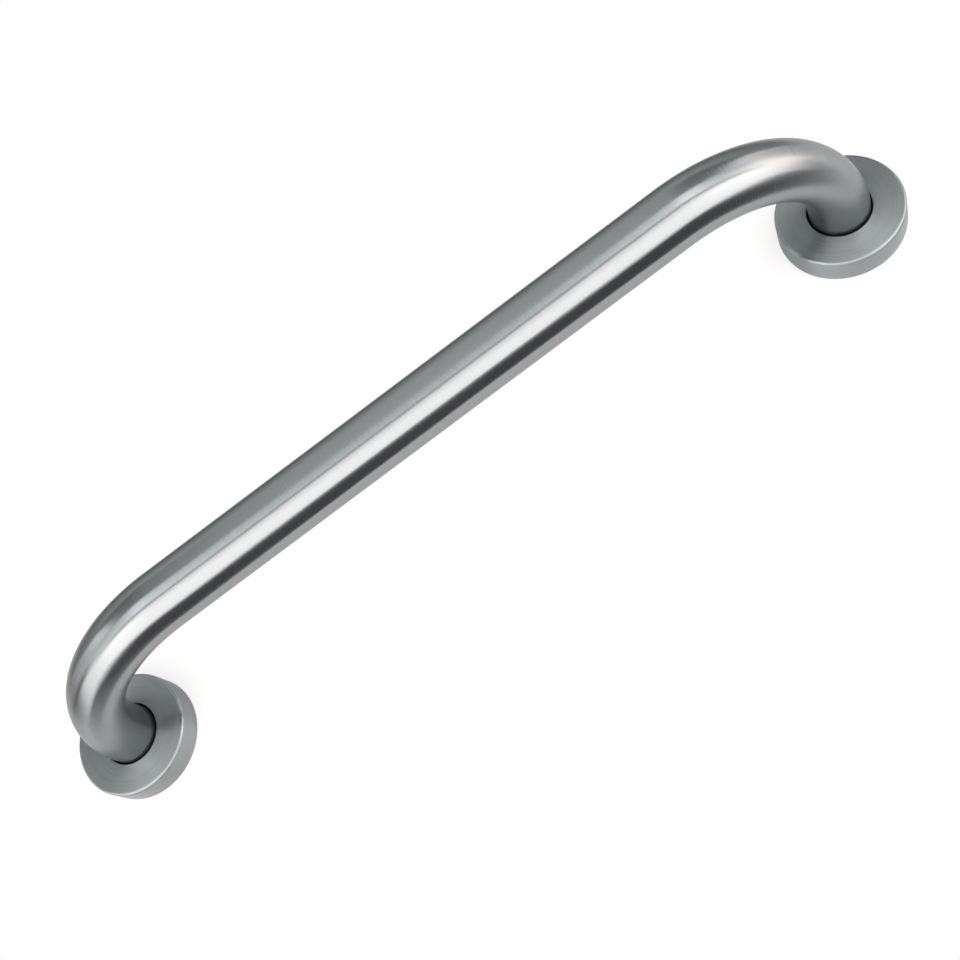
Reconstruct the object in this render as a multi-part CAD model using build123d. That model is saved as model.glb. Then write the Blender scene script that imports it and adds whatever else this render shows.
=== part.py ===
"""Grab bar: one bent round tube, welded at each end to a round mounting plate that a loose cup cover hides.

Frame, in millimetres: X along the bar, Z away from the mounting surface, and the origin on that surface,
midway between the two legs.
"""

import math
import os

from build123d import *

# Tube
TUBE_OD = 25.0
TUBE_WALL = 1.2
CENTRES = 375.0  # between the axes of the two legs
STANDOFF = 80.0  # from the mounting surface to the bar's axis
BEND_R = 68.0  # to the tube's axis
END_INSET = 0.5  # the tube's cut end stays this far in front of the plate's back

# Cover
COVER_OD = 53.0
COVER_HEIGHT = 11.8
COVER_SHEET = 0.8
COVER_EDGE = 1.2  # bevel of the outside edge, between face and wall
TUBE_CLEARANCE = 0.9  # between the tube and the cover's hole, all round

# Mounting plate
PLATE_T = 3.0
PLATE_CLEARANCE = 0.25  # between the plate's rim and the inside of the cover
BORE_CLEARANCE = 0.1  # between the tube and the plate's bore
SCREW_HOLE_D = 5.2
SCREWS = 3
WELD_LEG = 2.5

# What follows from these
TUBE_R = TUBE_OD / 2
HALF = CENTRES / 2
LEG = STANDOFF - BEND_R
COVER_R = COVER_OD / 2
COVER_IN_R = COVER_R - COVER_SHEET
HOLE_R = TUBE_R + TUBE_CLEARANCE
PLATE_R = COVER_IN_R - PLATE_CLEARANCE
SCREW_R = (TUBE_R + WELD_LEG + PLATE_R) / 2


def bent_tube():
    """Round tube swept from one cut end, up the leg, round the bend, along the bar and down to the other cut end."""
    with BuildLine(Plane.XZ) as route:
        FilletPolyline(
            (-HALF, END_INSET),
            (-HALF, STANDOFF),
            (HALF, STANDOFF),
            (HALF, END_INSET),
            radius=BEND_R,
        )
    start = Plane(origin=(-HALF, 0, END_INSET), z_dir=(0, 0, 1))
    ring = start * (Circle(TUBE_R) - Circle(TUBE_R - TUBE_WALL))
    return sweep(ring, path=route.line)


def plate():
    """Left-hand plate about its own axis: one screw hole points away from the bar, so a driver passes the tube."""
    disc = Cylinder(PLATE_R, PLATE_T, align=(Align.CENTER, Align.CENTER, Align.MIN))
    disc -= Cylinder(TUBE_R + BORE_CLEARANCE, 4 * PLATE_T)
    for place in PolarLocations(SCREW_R, SCREWS, start_angle=180):
        disc -= place * Cylinder(SCREW_HOLE_D / 2, 4 * PLATE_T)
    return disc


def weld():
    """Ring of weld that fills the corner between the tube and the plate's front."""
    with BuildSketch(Plane.XZ) as profile:
        with BuildLine():
            Polyline(
                (TUBE_R, PLATE_T),
                (TUBE_R + WELD_LEG, PLATE_T),
                (TUBE_R, PLATE_T + WELD_LEG),
                close=True,
            )
        make_face()
    return revolve(profile.sketch, axis=Axis.Z)


def cover():
    """Cup pressed from sheet: flat face with a bevelled edge, plain wall, and a hole wider than the tube."""
    face_in = COVER_HEIGHT - COVER_SHEET
    edge_in = COVER_EDGE - COVER_SHEET * (2 - math.sqrt(2))  # keeps the sheet's thickness across the bevel
    with BuildSketch(Plane.XZ) as profile:
        with BuildLine():
            Polyline(
                (HOLE_R, COVER_HEIGHT),
                (COVER_R - COVER_EDGE, COVER_HEIGHT),
                (COVER_R, COVER_HEIGHT - COVER_EDGE),
                (COVER_R, 0),
                (COVER_IN_R, 0),
                (COVER_IN_R, face_in - edge_in),
                (COVER_IN_R - edge_in, face_in),
                (HOLE_R, face_in),
                close=True,
            )
        make_face()
    return revolve(profile.sketch, axis=Axis.Z)


pieces = {"grab_tube": bent_tube()}
for name, make in (("flange_plate", plate), ("weld_bead", weld), ("cover", cover)):
    left = Pos(-HALF, 0, 0) * make()
    pieces[name + "_left"] = left
    pieces[name + "_right"] = mirror(left, about=Plane.YZ)

os.makedirs("parts", exist_ok=True)
for name, shape in pieces.items():
    export_step(shape, "parts/" + name + ".step")
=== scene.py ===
"""Looks of the grab bar: a bent satin tube, two loose cup covers, and the plates and welds under them."""

import math

import bmesh
import bpy
from bpy.props import FloatProperty, FloatVectorProperty, IntProperty, PointerProperty
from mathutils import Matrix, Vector


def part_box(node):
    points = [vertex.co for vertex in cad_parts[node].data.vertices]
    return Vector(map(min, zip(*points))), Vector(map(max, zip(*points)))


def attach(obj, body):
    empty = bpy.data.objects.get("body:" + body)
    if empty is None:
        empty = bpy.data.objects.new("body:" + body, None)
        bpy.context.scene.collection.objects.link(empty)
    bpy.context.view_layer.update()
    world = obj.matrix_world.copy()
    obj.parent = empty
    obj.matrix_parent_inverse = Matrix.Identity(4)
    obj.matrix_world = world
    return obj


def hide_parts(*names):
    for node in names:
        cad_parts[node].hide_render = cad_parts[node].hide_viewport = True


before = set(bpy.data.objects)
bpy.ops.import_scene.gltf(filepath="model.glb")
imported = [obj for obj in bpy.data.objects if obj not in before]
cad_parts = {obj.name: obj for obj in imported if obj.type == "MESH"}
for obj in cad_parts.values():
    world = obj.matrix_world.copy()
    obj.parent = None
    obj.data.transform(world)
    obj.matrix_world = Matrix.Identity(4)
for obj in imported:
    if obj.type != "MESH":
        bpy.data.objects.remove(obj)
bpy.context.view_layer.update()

bl_info = {
    "name": "Grab bar",
    "version": (1, 0, 0),
    "blender": (4, 5, 0),
    "location": "View3D > Sidebar > Grab bar",
    "description": "Builds a bent-tube grab bar with cup covers, and the studio it stands in",
    "category": "Add Mesh",
}

SIDES = ("left", "right")

TUBE_LOW, TUBE_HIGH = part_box("grab_tube")
COVER_LOW, COVER_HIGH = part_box("cover_right")
WELD_LOW, WELD_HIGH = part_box("weld_bead_right")

# How finely the pieces are divided
LEG_STEPS = 6
BEND_STEPS = 56
BAR_STEPS = 20
TUBE_SEGMENTS = 112
COVER_SEGMENTS = 160
WELD_STEPS = 10
RIPPLE_SEGMENTS = 8

# Small forms, in metres
RIM_RADIUS = 0.00025  # on the cover's lower edge
WELD_CROWN = 0.00018  # how far a weld stands proud of a straight fillet
RIPPLE_HEIGHT = 0.00012
RIPPLE_SHAPE = 0.6  # under 1 makes a ripple blunt on top, with a narrow valley beside it

# Tint at the edge of a steel reflection
EDGE_TINT = (0.7, 0.7, 0.7, 1.0)

# Places of the colour sockets on a mix node
MIX_A, MIX_B, MIX_OUT = 6, 7, 2


class TubeSettings(bpy.types.PropertyGroup):
    """Sizes and finish of the bent tube."""

    diameter: FloatProperty(
        name="Diameter",
        description="Outside diameter of the tube",
        default=TUBE_HIGH.y - TUBE_LOW.y,
        unit="LENGTH",
    )
    wall: FloatProperty(
        name="Wall",
        description="Thickness of the tube's wall",
        default=0.0012,
        unit="LENGTH",
    )
    bend_radius: FloatProperty(
        name="Bend radius",
        description="Radius of each bend to the tube's axis",
        default=0.068,
        unit="LENGTH",
    )
    flatten: FloatProperty(
        name="Flattening",
        description="Share of the radius by which a bend is flattened in its own plane",
        default=0.08,
        subtype="FACTOR",
    )
    bulge: FloatProperty(
        name="Bulge",
        description="Share of the radius by which the sides of a bend widen",
        default=0.03,
        subtype="FACTOR",
    )
    steel: FloatVectorProperty(
        name="Steel",
        description="Colour of the satin tube",
        default=(0.294, 0.311, 0.317),
        subtype="COLOR",
        size=3,
    )
    roughness: FloatProperty(
        name="Roughness",
        description="Roughness of the satin polish",
        default=0.24,
        subtype="FACTOR",
    )


class CoverSettings(bpy.types.PropertyGroup):
    """Sizes and finish of the loose cup covers."""

    sheet: FloatProperty(
        name="Sheet",
        description="Thickness of the sheet",
        default=0.0008,
        unit="LENGTH",
    )
    edge: FloatProperty(
        name="Edge radius",
        description="Outside radius between face and wall",
        default=0.0013,
        unit="LENGTH",
    )
    lip: FloatProperty(
        name="Lip radius",
        description="Radius on the front edge of the tube's hole",
        default=0.0003,
        unit="LENGTH",
    )
    gap: FloatProperty(
        name="Gap",
        description="Clearance between the tube and the hole",
        default=0.0009,
        unit="LENGTH",
    )
    steel: FloatVectorProperty(
        name="Steel",
        description="Colour of the brushed cover",
        default=(0.289, 0.311, 0.317),
        subtype="COLOR",
        size=3,
    )
    roughness: FloatProperty(
        name="Roughness",
        description="Roughness of the circular brushing",
        default=0.47,
        subtype="FACTOR",
    )
    edge_roughness: FloatProperty(
        name="Edge roughness",
        description="Roughness where the outer edge is worn bright",
        default=0.3,
        subtype="FACTOR",
    )


class FixingSettings(bpy.types.PropertyGroup):
    """Finish of the plates and welds that the covers hide."""

    plate: FloatVectorProperty(
        name="Plate",
        description="Colour of the plate's mill finish",
        default=(0.4, 0.405, 0.41),
        subtype="COLOR",
        size=3,
    )
    weld: FloatVectorProperty(
        name="Weld",
        description="Colour of the weld metal",
        default=(0.33, 0.32, 0.3),
        subtype="COLOR",
        size=3,
    )
    ripples: IntProperty(name="Ripples", description="Ripples round one weld", default=46)


class StageSettings(bpy.types.PropertyGroup):
    """Camera, floor and light tent."""

    camera_at: FloatVectorProperty(
        name="Camera",
        description="Where the camera stands",
        default=(0.03747, -0.25457, 0.46084),
        subtype="XYZ",
        size=3,
    )
    camera_turn: FloatVectorProperty(
        name="Camera turn",
        description="How the camera is turned",
        default=(math.radians(22.334), math.radians(19.922), math.radians(-31.454)),
        subtype="EULER",
        size=3,
    )
    lens: FloatProperty(name="Lens", description="Focal length in millimetres", default=45.77)
    floor_front: FloatProperty(
        name="Floor front",
        description="How far the pale floor reaches in front of the bar",
        default=0.145,
        unit="LENGTH",
    )


class GrabBarSettings(bpy.types.PropertyGroup):
    """All settings of the grab bar."""

    tube: PointerProperty(type=TubeSettings, name="Tube", description="The bent tube")
    cover: PointerProperty(type=CoverSettings, name="Covers", description="The loose covers")
    fixing: PointerProperty(type=FixingSettings, name="Fixings", description="Plates and welds")
    stage: PointerProperty(type=StageSettings, name="Stage", description="Camera, floor and light")


class Nodes:
    """Short hand for building one node tree."""

    def __init__(self, tree):
        self.tree = tree
        self.tree.nodes.clear()

    def add(self, kind, links=(), **values):
        """A new node, with its own settings and what its sockets get: a value or another node's output."""
        node = self.tree.nodes.new(kind)
        for name, value in values.items():
            setattr(node, name, value)
        for socket, value in dict(links).items():
            self.feed(node, socket, value)
        return node

    def feed(self, node, socket, value):
        if isinstance(value, bpy.types.NodeSocket):
            self.tree.links.new(value, node.inputs[socket])
        else:
            node.inputs[socket].default_value = value

    def maths(self, operation, a, b=0.0, c=0.0):
        node = self.add("ShaderNodeMath", {0: a, 1: b, 2: c}, operation=operation)
        return node.outputs[0]

    def ramp(self, value, low, high, to_low, to_high):
        """The value, mapped from one range to another and held at its ends."""
        node = self.add(
            "ShaderNodeMapRange",
            {"Value": value, "From Min": low, "From Max": high, "To Min": to_low, "To Max": to_high},
        )
        return node.outputs["Result"]

    def noise(self, vector, scale, detail=2.0, rough=0.5):
        node = self.add(
            "ShaderNodeTexNoise", {"Vector": vector, "Scale": scale, "Detail": detail, "Roughness": rough}
        )
        return node.outputs["Fac"]

    def stretched(self, vector, scale):
        return self.add("ShaderNodeMapping", {"Vector": vector, "Scale": scale}).outputs["Vector"]

    def blend(self, factor, a, b):
        """A colour between two colours."""
        node = self.add("ShaderNodeMix", data_type="RGBA")
        self.feed(node, "Factor", factor)
        self.feed(node, MIX_A, a)
        self.feed(node, MIX_B, b)
        return node.outputs[MIX_OUT]


def shade(colour, factor):
    """The colour, lighter or darker, as an RGBA value."""
    return tuple(channel * factor for channel in colour) + (1.0,)


def new_material(name):
    material = bpy.data.materials.new(name)
    material.use_nodes = True
    return material, Nodes(material.node_tree)


def satin_tube(settings):
    """Satin polish: fine marks round the tube keep reflections crisp across it and smear them along it."""
    material, tree = new_material("satin_tube")
    uv = tree.add("ShaderNodeUVMap", uv_map="tube").outputs["UV"]
    # Scales are marks per metre, along the tube and round it
    marks = tree.noise(tree.stretched(uv, (6400.0, 60.0, 1.0)), 1.0, detail=3.0, rough=0.6)
    patches = tree.noise(tree.stretched(uv, (14.0, 40.0, 1.0)), 1.0)
    colour = tree.blend(
        tree.ramp(marks, 0.3, 0.7, 0.0, 1.0),
        shade(settings.steel, 0.95),
        shade(settings.steel, 1.05),
    )
    rough = tree.maths(
        "ADD",
        tree.ramp(marks, 0.3, 0.7, settings.roughness - 0.04, settings.roughness + 0.04),
        tree.ramp(patches, 0.3, 0.7, -0.015, 0.015),
    )
    bump = tree.add("ShaderNodeBump", {"Strength": 0.03, "Distance": 0.00002, "Height": marks})
    tangent = tree.add("ShaderNodeTangent", direction_type="UV_MAP", uv_map="tube")
    steel = tree.add(
        "ShaderNodeBsdfPrincipled",
        {
            "Base Color": colour,
            "Metallic": 1.0,
            "Roughness": rough,
            "Anisotropic": 0.8,
            "Specular Tint": EDGE_TINT,
            "Tangent": tangent.outputs["Tangent"],
            "Normal": bump.outputs["Normal"],
        },
    )
    tree.add("ShaderNodeOutputMaterial", {"Surface": steel.outputs["BSDF"]})
    return material


def brushed_cover(settings, outer, height):
    """Circular brushing: rings about the cover's axis on face and wall, worn bright on the outer edge."""
    material, tree = new_material("brushed_cover")
    place = tree.add("ShaderNodeTexCoord").outputs["Object"]
    parts = tree.add("ShaderNodeSeparateXYZ", {"Vector": place})
    x, y, z = (parts.outputs[i] for i in range(3))
    squares = tree.maths("ADD", tree.maths("MULTIPLY", x, x), tree.maths("MULTIPLY", y, y))
    radius = tree.maths("SQRT", squares)
    # A turn is a short way in this map, so a mark runs far round the cover and is narrow across it
    turn = tree.maths("MULTIPLY", tree.maths("ARCTAN2", y, x), 0.004)
    rings = tree.add("ShaderNodeCombineXYZ", {"X": radius, "Y": turn, "Z": z}).outputs["Vector"]
    marks = tree.noise(tree.stretched(rings, (2400.0, 220.0, 2400.0)), 1.0, detail=4.0, rough=0.65)
    hairs = tree.noise(tree.stretched(rings, (7600.0, 900.0, 7600.0)), 1.0, rough=0.6)
    sweeps = tree.noise(tree.stretched(rings, (260.0, 420.0, 260.0)), 1.0)
    level = tree.maths("ADD", tree.maths("MULTIPLY", marks, 0.65), tree.maths("MULTIPLY", hairs, 0.35))
    colour = tree.blend(
        tree.ramp(level, 0.32, 0.68, 0.0, 1.0),
        shade(settings.steel, 0.86),
        shade(settings.steel, 1.14),
    )
    rough = tree.maths(
        "ADD",
        tree.ramp(level, 0.32, 0.68, settings.roughness - 0.06, settings.roughness + 0.06),
        tree.ramp(sweeps, 0.3, 0.7, -0.03, 0.03),
    )
    beyond = tree.maths("GREATER_THAN", radius, outer - settings.edge)
    above = tree.maths("GREATER_THAN", z, height - settings.edge)
    worn = tree.maths("MULTIPLY", beyond, above)
    rough = tree.ramp(worn, 0.0, 1.0, rough, settings.edge_roughness)
    bump = tree.add("ShaderNodeBump", {"Strength": 0.5, "Distance": 0.000008, "Height": level})
    tangent = tree.add("ShaderNodeTangent", direction_type="RADIAL", axis="Z")
    steel = tree.add(
        "ShaderNodeBsdfPrincipled",
        {
            "Base Color": colour,
            "Metallic": 1.0,
            "Roughness": rough,
            "Anisotropic": 0.9,
            "Anisotropic Rotation": 0.25,
            "Specular Tint": EDGE_TINT,
            "Tangent": tangent.outputs["Tangent"],
            "Normal": bump.outputs["Normal"],
        },
    )
    tree.add("ShaderNodeOutputMaterial", {"Surface": steel.outputs["BSDF"]})
    return material


def mill_plate(settings):
    """Cold-rolled plate: faint rolling lines one way and a dull cloudy sheen."""
    material, tree = new_material("mill_plate")
    place = tree.add("ShaderNodeTexCoord").outputs["Object"]
    lines = tree.noise(tree.stretched(place, (90.0, 3200.0, 90.0)), 1.0, detail=3.0, rough=0.6)
    clouds = tree.noise(place, 160.0, detail=4.0, rough=0.6)
    colour = tree.blend(clouds, shade(settings.plate, 0.86), shade(settings.plate, 1.1))
    rough = tree.maths(
        "ADD",
        tree.ramp(lines, 0.3, 0.7, 0.36, 0.46),
        tree.ramp(clouds, 0.3, 0.7, -0.04, 0.04),
    )
    bump = tree.add("ShaderNodeBump", {"Strength": 0.15, "Distance": 0.00003, "Height": lines})
    steel = tree.add(
        "ShaderNodeBsdfPrincipled",
        {"Base Color": colour, "Metallic": 1.0, "Roughness": rough, "Normal": bump.outputs["Normal"]},
    )
    tree.add("ShaderNodeOutputMaterial", {"Surface": steel.outputs["BSDF"]})
    return material


def weld_metal(settings):
    """Weld as it cooled: grey with straw and blue heat tint in patches."""
    material, tree = new_material("weld_metal")
    place = tree.add("ShaderNodeTexCoord").outputs["Object"]
    tint = tree.noise(place, 190.0, detail=3.0, rough=0.6)
    grain = tree.noise(place, 2400.0, detail=3.0, rough=0.6)
    straw = (0.36, 0.28, 0.17, 1.0)
    blue = (0.2, 0.22, 0.32, 1.0)
    warm = tree.blend(tree.ramp(tint, 0.35, 0.6, 0.0, 1.0), shade(settings.weld, 1.0), straw)
    colour = tree.blend(tree.ramp(tint, 0.58, 0.75, 0.0, 1.0), warm, blue)
    rough = tree.ramp(grain, 0.3, 0.7, 0.3, 0.5)
    bump = tree.add("ShaderNodeBump", {"Strength": 0.2, "Distance": 0.00005, "Height": grain})
    steel = tree.add(
        "ShaderNodeBsdfPrincipled",
        {"Base Color": colour, "Metallic": 1.0, "Roughness": rough, "Normal": bump.outputs["Normal"]},
    )
    tree.add("ShaderNodeOutputMaterial", {"Surface": steel.outputs["BSDF"]})
    return material


def add_object(name, mesh, place=(0.0, 0.0, 0.0)):
    piece = bpy.data.objects.new(name, mesh)
    piece.location = place
    bpy.context.scene.collection.objects.link(piece)
    return piece


def finish_mesh(bm, name, sharp=math.radians(50)):
    """Closes a bmesh into a mesh with smooth faces and creases where faces meet steeply."""
    bmesh.ops.recalc_face_normals(bm, faces=bm.faces)
    for face in bm.faces:
        face.smooth = True
    for edge in bm.edges:
        edge.smooth = len(edge.link_faces) != 2 or edge.calc_face_angle(0.0) < sharp
    mesh = bpy.data.meshes.new(name)
    bm.to_mesh(mesh)
    bm.free()
    return mesh


def arc(centre, radius, start, end, steps):
    """Points of an arc in a section, by angle in degrees, both ends included."""
    return [
        (
            centre[0] + radius * math.cos(math.radians(start + (end - start) * i / steps)),
            centre[1] + radius * math.sin(math.radians(start + (end - start) * i / steps)),
        )
        for i in range(steps + 1)
    ]


def turned(name, section, segments):
    """A closed section of (radius, height) points turned about Z."""
    bm = bmesh.new()
    rings = []
    for k in range(segments):
        angle = 2 * math.pi * k / segments
        rings.append(
            [bm.verts.new((r * math.cos(angle), r * math.sin(angle), z)) for r, z in section]
        )
    for k in range(segments):
        here, there = rings[k], rings[(k + 1) % segments]
        for i in range(len(section)):
            j = (i + 1) % len(section)
            bm.faces.new((here[i], here[j], there[j], there[i]))
    return finish_mesh(bm, name)


def tube_route(settings):
    """Stations along the tube's axis, left to right: place, tangent, share of bend, and length so far."""
    radius = settings.diameter / 2
    half = (TUBE_HIGH.x - TUBE_LOW.x) / 2 - radius
    top = TUBE_HIGH.z - radius
    bend = settings.bend_radius
    foot = TUBE_LOW.z
    leg = top - bend
    stations = []
    for i in range(LEG_STEPS):
        place = Vector((-half, 0, foot + (leg - foot) * i / LEG_STEPS))
        stations.append((place, Vector((0, 0, 1)), 0.0))
    for i in range(BEND_STEPS + 1):
        turn = math.pi / 2 * i / BEND_STEPS
        place = Vector((bend - half - bend * math.cos(turn), 0, leg + bend * math.sin(turn)))
        stations.append((place, Vector((math.sin(turn), 0, math.cos(turn))), 1 - math.cos(2 * turn) ** 4))
    run = half - bend
    for i in range(1, BAR_STEPS):
        stations.append((Vector((-run + 2 * run * i / BAR_STEPS, 0, top)), Vector((1, 0, 0)), 0.0))
    for place, tangent, share in reversed(stations[: LEG_STEPS + BEND_STEPS + 1]):
        stations.append((Vector((-place.x, 0, place.z)), Vector((tangent.x, 0, -tangent.z)), share))
    lengths = [0.0]
    for before, after in zip(stations, stations[1:]):
        lengths.append(lengths[-1] + (after[0] - before[0]).length)
    return [station + (length,) for station, length in zip(stations, lengths)]


def tube_mesh(settings):
    """The tube's outside, bore and cut ends as one closed skin, with a map in metres along and round it."""
    radius = settings.diameter / 2
    segments = TUBE_SEGMENTS
    side = Vector((0, 1, 0))
    bm = bmesh.new()
    layer = bm.loops.layers.uv.new("tube")
    route = tube_route(settings)

    def skin(inset):
        rings = []
        for place, tangent, share, _ in route:
            up = tangent.cross(side)
            wide = radius * (1 + settings.bulge * share) - inset
            flat = radius * (1 - settings.flatten * share) - inset
            rings.append(
                [
                    bm.verts.new(
                        place
                        + side * (wide * math.cos(2 * math.pi * k / segments))
                        + up * (flat * math.sin(2 * math.pi * k / segments))
                    )
                    for k in range(segments)
                ]
            )
        for i in range(len(rings) - 1):
            for k in range(segments):
                m = (k + 1) % segments
                face = bm.faces.new((rings[i][k], rings[i][m], rings[i + 1][m], rings[i + 1][k]))
                around = (k, k + 1, k + 1, k)
                along = (i, i, i + 1, i + 1)
                for loop, a, s in zip(face.loops, around, along):
                    loop[layer].uv = (route[s][3], 2 * math.pi * radius * a / segments)
        return rings

    outside, bore = skin(0.0), skin(settings.wall)
    for outer, inner in ((outside[0], bore[0]), (outside[-1], bore[-1])):
        for k in range(segments):
            m = (k + 1) % segments
            bm.faces.new((outer[k], outer[m], inner[m], inner[k]))
    return finish_mesh(bm, "bent_tube")


class GRABBAR_OT_tube(bpy.types.Operator):
    """Build the bent tube with its satin polish"""

    bl_idname = "grab_bar.tube"
    bl_label = "Bent tube"

    def execute(self, context):
        settings = context.scene.grab_bar.tube
        piece = add_object("bent_tube", tube_mesh(settings))
        piece.data.materials.append(satin_tube(settings))
        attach(piece, "bar")
        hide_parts("grab_tube")
        return {"FINISHED"}


class GRABBAR_OT_covers(bpy.types.Operator):
    """Build the two loose cup covers with their circular brushing"""

    bl_idname = "grab_bar.covers"
    bl_label = "Cup covers"

    def execute(self, context):
        settings = context.scene.grab_bar.cover
        outer = (COVER_HIGH.x - COVER_LOW.x) / 2
        height = COVER_HIGH.z - COVER_LOW.z
        hole = context.scene.grab_bar.tube.diameter / 2 + settings.gap
        sheet, edge, lip = settings.sheet, settings.edge, settings.lip
        inner = outer - sheet
        rim = RIM_RADIUS
        section = arc((hole + lip, height - lip), lip, 180, 90, steps=5)
        section += [(hole + (outer - edge - hole) * share, height) for share in (0.25, 0.5, 0.75)]
        section += arc((outer - edge, height - edge), edge, 90, 0, steps=10)
        section += arc((outer - rim, rim), rim, 0, -90, steps=3)
        section += [(inner, 0.0)]
        section += arc((inner - (edge - sheet), height - edge), edge - sheet, 0, 90, steps=6)
        section += [(hole, height - sheet)]
        mesh = turned("cup_cover", section, COVER_SEGMENTS)
        mesh.materials.append(brushed_cover(settings, outer, height))
        for side in SIDES:
            low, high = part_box("cover_" + side)
            piece = add_object("cup_cover_" + side, mesh, ((low.x + high.x) / 2, 0, low.z))
            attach(piece, "cover_" + side)
            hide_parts("cover_" + side)
        return {"FINISHED"}


class GRABBAR_OT_plates(bpy.types.Operator):
    """Give the two mounting plates their mill finish"""

    bl_idname = "grab_bar.plates"
    bl_label = "Mounting plates"

    def execute(self, context):
        material = mill_plate(context.scene.grab_bar.fixing)
        for side in SIDES:
            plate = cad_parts["flange_plate_" + side]
            plate.data.materials.clear()
            plate.data.materials.append(material)
        return {"FINISHED"}


class GRABBAR_OT_welds(bpy.types.Operator):
    """Build the rippled welds between tube and plates"""

    bl_idname = "grab_bar.welds"
    bl_label = "Welds"

    def execute(self, context):
        settings = context.scene.grab_bar.fixing
        outer = (WELD_HIGH.x - WELD_LOW.x) / 2
        leg = WELD_HIGH.z - WELD_LOW.z
        inner = outer - leg
        segments = settings.ripples * RIPPLE_SEGMENTS
        steps = WELD_STEPS
        bm = bmesh.new()
        rings = []
        for k in range(segments):
            angle = 2 * math.pi * k / segments
            swell = RIPPLE_HEIGHT * abs(math.sin(angle * settings.ripples / 2)) ** RIPPLE_SHAPE
            ring = [bm.verts.new((inner * math.cos(angle), inner * math.sin(angle), 0))]
            for i in range(steps + 1):
                share = i / steps
                lift = math.sin(math.pi * share) * (WELD_CROWN + swell)
                r = inner + leg * (1 - share) + lift
                ring.append(bm.verts.new((r * math.cos(angle), r * math.sin(angle), leg * share + lift)))
            rings.append(ring)
        count = steps + 2
        for k in range(segments):
            here, there = rings[k], rings[(k + 1) % segments]
            for i in range(count):
                j = (i + 1) % count
                bm.faces.new((here[i], here[j], there[j], there[i]))
        mesh = finish_mesh(bm, "weld_bead")
        mesh.materials.append(weld_metal(settings))
        for side in SIDES:
            low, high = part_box("weld_bead_" + side)
            piece = add_object("rippled_weld_" + side, mesh, ((low.x + high.x) / 2, 0, low.z))
            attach(piece, "bar")
            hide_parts("weld_bead_" + side)
        return {"FINISHED"}


# The pale floor: its ends, its back edge, how its front edge curves, and how far it lies under the bar
FLOOR_LEFT, FLOOR_RIGHT = -0.33, 1.6
FLOOR_BACK = 0.16
FLOOR_STEPS = 39
FLOOR_CURVE, FLOOR_CURVE_MOST = 1.6, 0.105
FLOOR_DROP = 0.0004

# How white the floor is by itself, and how much of the light on it is added, which keeps the shadow
FLOOR_GLOW = 0.6
FLOOR_SHADE = 0.35

# How strongly the world lights the object. The camera and the reflections see it as white.
WORLD_LIGHT = 0.6

# The dark discs under the plates: painted shade on the floor inside each closed cover
DISC_INSET, DISC_DROP = 0.001, 0.0002
DISC_SEGMENTS = 64

# The light tent: its radius, half its length, and how far its cards stand in front of the panels
TENT_REACH, TENT_HALF = 1.1, 1.9
CARD_GAP = 0.02
END_HUB = 0.001  # the panels of an end start this near to its middle
ROW_DEGREES = 5

# Where the grading along a panel starts and ends, as a share of its length from the middle
ENDS_FROM_TO = (0.1, 0.38)

# Colours of the tent's cloth and of its lamps
PLAIN = (1.0, 1.0, 1.0, 1.0)
WARM = (1.05, 1.0, 0.98, 1.0)
LAMP = (1.09, 1.0, 0.94, 1.0)

# Panels of the light tent, each with the angles where it starts and ends, its strength at both, its colour,
# and how much stronger it is at the ends of the bar
TENT_WALL = (
    ("under_flag", -135, -60, 0.25, 0.25, PLAIN),
    ("front_flag_low", -60, -30, 0.45, 0.17, PLAIN, 2.2),
    ("front_flag", -30, 9, 0.13, 0.16, PLAIN),
    ("front_edge", 9, 13, 0.16, 2.3, WARM),
    ("front_light", 13, 48, 2.7, 2.75, WARM, 1.2),
    ("front_light_top", 48, 70, 2.75, 2.0, WARM, 1.6),
    ("seam", 70, 76, 0.55, 0.55, PLAIN),
    ("top_cloth", 76, 105, 1.4, 0.95, PLAIN, 1.3),
    ("back_cloth", 105, 150, 0.95, 0.85, PLAIN),
    ("back_cloth_low", 150, 186, 0.85, 0.45, PLAIN),
    ("back_flag", 186, 225, 0.35, 0.35, PLAIN),
)
TENT_LEFT = (
    ("left_flag", -135, -52, 0.25, 0.25, PLAIN),
    ("left_edge", -52, -46, 0.25, 1.2, PLAIN),
    ("left_low", -46, -22, 1.3, 2.1, PLAIN),
    ("left_light", -22, 65, 2.2, 2.6, WARM),
    ("left_fade", 65, 95, 2.4, 1.6, PLAIN),
    ("left_back", 95, 225, 1.6, 0.5, PLAIN),
)
TENT_RIGHT = (
    ("right_flag", -135, -15, 0.25, 0.55, PLAIN),
    ("right_edge", -15, 20, 0.55, 2.7, LAMP),
    ("right_light", 20, 95, 2.9, 3.4, LAMP),
    ("right_fade", 95, 140, 3.2, 1.4, LAMP),
    ("right_back", 140, 225, 1.4, 0.55, PLAIN),
)

# Cards in front of the panels, each with the angles and the places along the bar where it starts and ends,
# its strength at both angles, and its colour
CARDS = (
    ("stand_flag", -5, 18, -0.36, 0.2, 0.14, 0.16, PLAIN),
    ("front_light_left", -10, 9, -1.9, -1.25, 0.8, 1.6, WARM),
    ("back_flag_left", 106, 155, -1.4, -0.45, 0.35, 0.3, PLAIN),
    ("back_flag_right", 106, 155, 0.45, 1.4, 0.35, 0.3, PLAIN),
    ("back_lamp_left", 112, 155, -1.9, -1.4, 2.6, 2.6, PLAIN),
    ("back_lamp_right", 112, 155, 1.4, 1.9, 2.6, 2.6, PLAIN),
    ("top_light_left", 76, 104, -0.85, -0.5, 3.0, 2.4, PLAIN),
    ("top_light_right", 76, 104, 0.4, 0.75, 3.5, 2.8, PLAIN),
)

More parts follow.
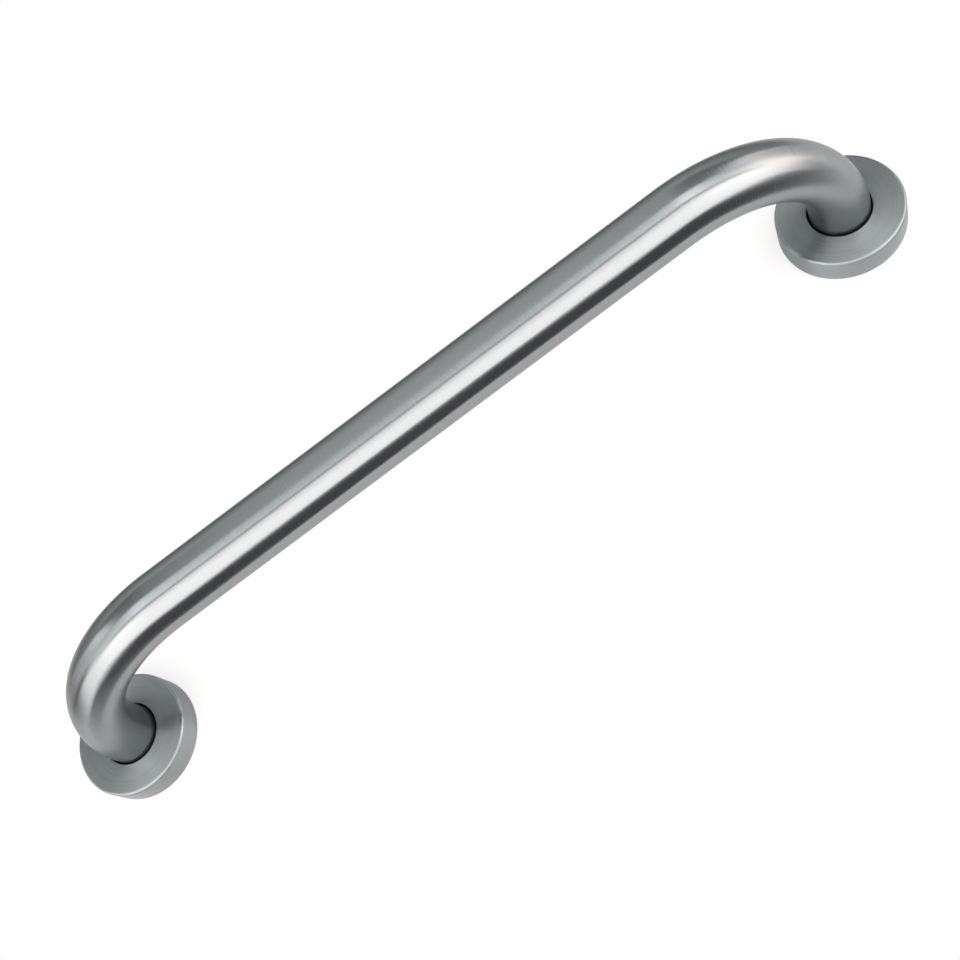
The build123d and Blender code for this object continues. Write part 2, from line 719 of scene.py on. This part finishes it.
# The dark slit in the tent's left end, just behind the bar
SLIT_BACK, SLIT_FRONT = 0.3, 0.02
SLIT_LOW, SLIT_HIGH = -0.35, 0.45
SLIT_LIGHT = (0.15, 0.15, PLAIN)


def seen_rays(tree):
    """One where the ray comes from the camera, a reflection or a transmission, and zero elsewhere."""
    path = tree.add("ShaderNodeLightPath")
    return tree.maths(
        "MAXIMUM",
        path.outputs["Is Camera Ray"],
        tree.maths("MAXIMUM", path.outputs["Is Glossy Ray"], path.outputs["Is Transmission Ray"]),
    )


def pale_floor():
    """White to the eye and in reflections, with the object's faint shadow kept."""
    material, tree = new_material("pale_floor")
    seen = seen_rays(tree)
    grain = tree.noise(tree.add("ShaderNodeTexCoord").outputs["Object"], 60.0, detail=3.0)
    paper = tree.blend(grain, (0.78, 0.78, 0.78, 1.0), (0.8, 0.8, 0.8, 1.0))
    plain = tree.add("ShaderNodeBsdfDiffuse", {"Color": paper})
    faint = tree.add("ShaderNodeBsdfDiffuse", {"Color": shade((FLOOR_SHADE,) * 3, 1.0)})
    glow = tree.add("ShaderNodeEmission", {"Color": PLAIN, "Strength": FLOOR_GLOW})
    white = tree.add("ShaderNodeAddShader", {0: faint.outputs[0], 1: glow.outputs[0]})
    mixed = tree.add("ShaderNodeMixShader", {0: seen, 1: plain.outputs[0], 2: white.outputs[0]})
    tree.add("ShaderNodeOutputMaterial", {"Surface": mixed.outputs[0]})
    return material


def painted_shade_floor():
    """Painted shade: the floor inside a closed cover, made dark where no light reaches."""
    material, tree = new_material("painted_shade_floor")
    shade_mottle = tree.noise(tree.add("ShaderNodeTexCoord").outputs["Object"], 900.0)
    # The painted shade's colour: near black, mottled a little
    cloth = tree.blend(shade_mottle, (0.02, 0.02, 0.02, 1.0), (0.035, 0.035, 0.035, 1.0))
    dull = tree.add("ShaderNodeBsdfDiffuse", {"Color": cloth})
    tree.add("ShaderNodeOutputMaterial", {"Surface": dull.outputs[0]})
    return material


def lit_cloth(name, near, far, colour, ends):
    """Cloth of one tent panel, graded from its first edge to its last, and along the bar to both ends."""
    material, tree = new_material(name)
    uv = tree.add("ShaderNodeUVMap", uv_map="panel").outputs["UV"]
    place = tree.add("ShaderNodeSeparateXYZ", {"Vector": uv})
    off_middle = tree.maths("ABSOLUTE", tree.maths("SUBTRACT", place.outputs["X"], 0.5))
    strength = tree.maths(
        "MULTIPLY",
        tree.ramp(place.outputs["Y"], 0.0, 1.0, near, far),
        tree.ramp(off_middle, *ENDS_FROM_TO, 1.0, ends),
    )
    glow = tree.add("ShaderNodeEmission", {"Color": colour, "Strength": strength})
    tree.add("ShaderNodeOutputMaterial", {"Surface": glow.outputs[0]})
    return material


def graded_sheet(name, rows, near, far, colour, ends=1.0):
    """A sheet of lit cloth over rows of point pairs, graded from first to last, unseen by the camera."""
    bm = bmesh.new()
    layer = bm.loops.layers.uv.new("panel")
    verts = [[bm.verts.new(point) for point in row] for row in rows]
    for i, (here, there) in enumerate(zip(verts, verts[1:])):
        face = bm.faces.new((here[0], here[1], there[1], there[0]))
        for loop, place in zip(face.loops, ((0, i), (1, i), (1, i + 1), (0, i + 1))):
            loop[layer].uv = (place[0], place[1] / (len(rows) - 1))
    mesh = bpy.data.meshes.new(name)
    bm.to_mesh(mesh)
    bm.free()
    mesh.materials.append(lit_cloth(name, near, far, colour, ends))
    sheet = add_object(name, mesh)
    sheet.visible_camera = False


def tent_rows(start, end, inner, outer):
    """Rows of point pairs by angle about the bar, from level in front of it, up and over.

    A pair is the place along the bar and the reach from its axis.
    """
    height = TUBE_HIGH.z - (TUBE_HIGH.y - TUBE_LOW.y) / 2
    steps = max(2, round(abs(end - start) / ROW_DEGREES))
    rows = []
    for i in range(steps + 1):
        angle = math.radians(start + (end - start) * i / steps)
        rows.append(
            [
                (x, -reach * math.cos(angle), height + reach * math.sin(angle))
                for x, reach in (inner, outer)
            ]
        )
    return rows


class GRABBAR_OT_stage(bpy.types.Operator):
    """Set the floor, the light tent, the world and the camera"""

    bl_idname = "grab_bar.stage"
    bl_label = "Stage"

    def execute(self, context):
        settings = context.scene.grab_bar.stage
        bm = bmesh.new()
        outline = [(FLOOR_RIGHT, FLOOR_BACK), (FLOOR_LEFT, FLOOR_BACK)]
        for i in range(FLOOR_STEPS + 1):
            x = FLOOR_LEFT + (FLOOR_RIGHT - FLOOR_LEFT) * i / FLOOR_STEPS
            outline.append((x, -settings.floor_front + min(FLOOR_CURVE * x * x, FLOOR_CURVE_MOST)))
        bm.faces.new([bm.verts.new((x, y, -FLOOR_DROP)) for x, y in outline])
        floor = add_object("floor", finish_mesh(bm, "floor"))
        floor.data.materials.append(pale_floor())
        # Painted shade: a dark disc on the floor under each plate, inside its cover
        for side in SIDES:
            low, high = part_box("flange_plate_" + side)
            bm = bmesh.new()
            radius = (high.x - low.x) / 2 - DISC_INSET
            bmesh.ops.create_circle(bm, cap_ends=True, segments=DISC_SEGMENTS, radius=radius)
            name = "painted_shade_under_" + side
            place = ((low.x + high.x) / 2, 0.0, -DISC_DROP)
            shade_disc = add_object(name, finish_mesh(bm, name), place)
            shade_disc.data.materials.append(painted_shade_floor())

        reach, half = TENT_REACH, TENT_HALF
        for name, start, end, *light in TENT_WALL:
            graded_sheet(name, tent_rows(start, end, (-half, reach), (half, reach)), *light)
        for side, panels in ((-half, TENT_LEFT), (half, TENT_RIGHT)):
            for name, start, end, *light in panels:
                graded_sheet(name, tent_rows(start, end, (side, END_HUB), (side, reach)), *light)
        near = reach - CARD_GAP
        for name, start, end, first, last, *light in CARDS:
            graded_sheet(name, tent_rows(start, end, (first, near), (last, near)), *light)

        x = CARD_GAP - half
        slit = [[(x, SLIT_BACK, z), (x, SLIT_FRONT, z)] for z in (SLIT_LOW, SLIT_HIGH)]
        graded_sheet("left_slit", slit, *SLIT_LIGHT)

        world = bpy.data.worlds.new("studio")
        context.scene.world = world
        world.use_nodes = True
        tree = Nodes(world.node_tree)
        level = tree.ramp(seen_rays(tree), 0.0, 1.0, WORLD_LIGHT, 1.0)
        sky = tree.add("ShaderNodeBackground", {"Color": PLAIN, "Strength": level})
        tree.add("ShaderNodeOutputWorld", {"Surface": sky.outputs[0]})

        camera = bpy.data.cameras.new("camera")
        camera.sensor_width = 36.0
        camera.lens = settings.lens
        camera.clip_start = 0.01
        camera.clip_end = 20.0
        eye = bpy.data.objects.new("camera", camera)
        eye.location = settings.camera_at
        eye.rotation_euler = settings.camera_turn
        context.scene.collection.objects.link(eye)
        context.scene.camera = eye
        context.scene.view_settings.view_transform = "Standard"
        return {"FINISHED"}


STEPS = (GRABBAR_OT_tube, GRABBAR_OT_covers, GRABBAR_OT_plates, GRABBAR_OT_welds, GRABBAR_OT_stage)


class GRABBAR_PT_panel(bpy.types.Panel):
    """Lists the pieces of the grab bar"""

    bl_idname = "GRABBAR_PT_panel"
    bl_label = "Grab bar"
    bl_space_type = "VIEW_3D"
    bl_region_type = "UI"
    bl_category = "Grab bar"

    def draw(self, context):
        settings = context.scene.grab_bar
        for step in STEPS:
            self.layout.operator(step.bl_idname)
        for group in (settings.tube, settings.cover, settings.fixing, settings.stage):
            box = self.layout.box()
            for name in group.__annotations__:
                box.prop(group, name)


CLASSES = (
    TubeSettings,
    CoverSettings,
    FixingSettings,
    StageSettings,
    GrabBarSettings,
    *STEPS,
    GRABBAR_PT_panel,
)


def register():
    for cls in CLASSES:
        bpy.utils.register_class(cls)
    bpy.types.Scene.grab_bar = PointerProperty(type=GrabBarSettings)


def unregister():
    del bpy.types.Scene.grab_bar
    for cls in reversed(CLASSES):
        bpy.utils.unregister_class(cls)


def main():
    register()
    bpy.ops.grab_bar.tube()
    bpy.ops.grab_bar.covers()
    bpy.ops.grab_bar.plates()
    bpy.ops.grab_bar.welds()
    bpy.ops.grab_bar.stage()


if __name__ == "__main__":
    main()
